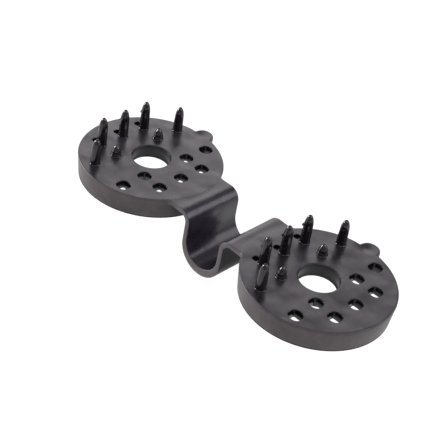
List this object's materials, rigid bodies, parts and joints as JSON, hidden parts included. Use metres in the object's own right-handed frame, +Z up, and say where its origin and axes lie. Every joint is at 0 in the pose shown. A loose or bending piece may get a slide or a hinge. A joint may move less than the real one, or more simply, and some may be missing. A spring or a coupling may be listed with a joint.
{
  "type": "shade net clip",
  "caption": "Fold-over shade-net clip: two round spiked and holed discs joined by a flexible U-loop strap for a rope or wire.",
  "frame": {"origin": "on the axis of the loop's round bottom, midway across the strap, where a rope's centre runs", "axes": "+X from the left disc to the right disc, +Y across the strap towards the pry tabs, +Z up out of the spiked faces"},
  "size_m": [0.089, 0.0374, 0.0213],
  "materials": {
    "disc": "satin black polypropylene with a fine moulded texture",
    "spikes": "glossy black polypropylene",
    "strap": "semi-gloss black polypropylene"
  },
  "bodies": {
    "loop_bottom": {"loop_bottom": "strap"},
    "left_loop_side": {"left_loop_side": "strap"},
    "left_disc": {"left_plate": "disc", "left_rim": "disc", "left_hub": "disc", "left_pry_tab": "disc", "left_flange": "strap", "left_plain_spike_1": "spikes", "left_short_spike_1": "spikes", "left_barbed_spike_1": "spikes", "left_barbed_spike_2": "spikes", "left_barbed_spike_3": "spikes", "left_short_spike_2": "spikes", "left_plain_spike_2": "spikes"},
    "right_loop_side": {"right_loop_side": "strap"},
    "right_disc": {"right_plate": "disc", "right_rim": "disc", "right_hub": "disc", "right_pry_tab": "disc", "right_flange": "strap", "right_plain_spike_1": "spikes", "right_short_spike_1": "spikes", "right_barbed_spike_1": "spikes", "right_barbed_spike_2": "spikes", "right_barbed_spike_3": "spikes", "right_short_spike_2": "spikes", "right_plain_spike_2": "spikes"}
  },
  "joints": [
    {"name": "left_loop_bend", "type": "hinge", "parent": "loop_bottom", "child": "left_loop_side", "pos_m": [-0.00315, 0, -0.00375], "axis": [0, 1, 0], "range_deg": [0, 25.37], "stiffness_Nm_per_rad": 0.06},
    {"name": "left_shoulder_bend", "type": "hinge", "parent": "left_loop_side", "child": "left_disc", "pos_m": [-0.00578, 0, 0.00592], "axis": [0, 1, 0], "range_deg": [0, 64.63], "stiffness_Nm_per_rad": 0.05},
    {"name": "right_loop_bend", "type": "hinge", "parent": "loop_bottom", "child": "right_loop_side", "pos_m": [0.00315, 0, -0.00375], "axis": [0, -1, 0], "range_deg": [0, 25.37], "stiffness_Nm_per_rad": 0.06},
    {"name": "right_shoulder_bend", "type": "hinge", "parent": "right_loop_side", "child": "right_disc", "pos_m": [0.00578, 0, 0.00592], "axis": [0, -1, 0], "range_deg": [0, 64.63], "stiffness_Nm_per_rad": 0.05}
  ]
}
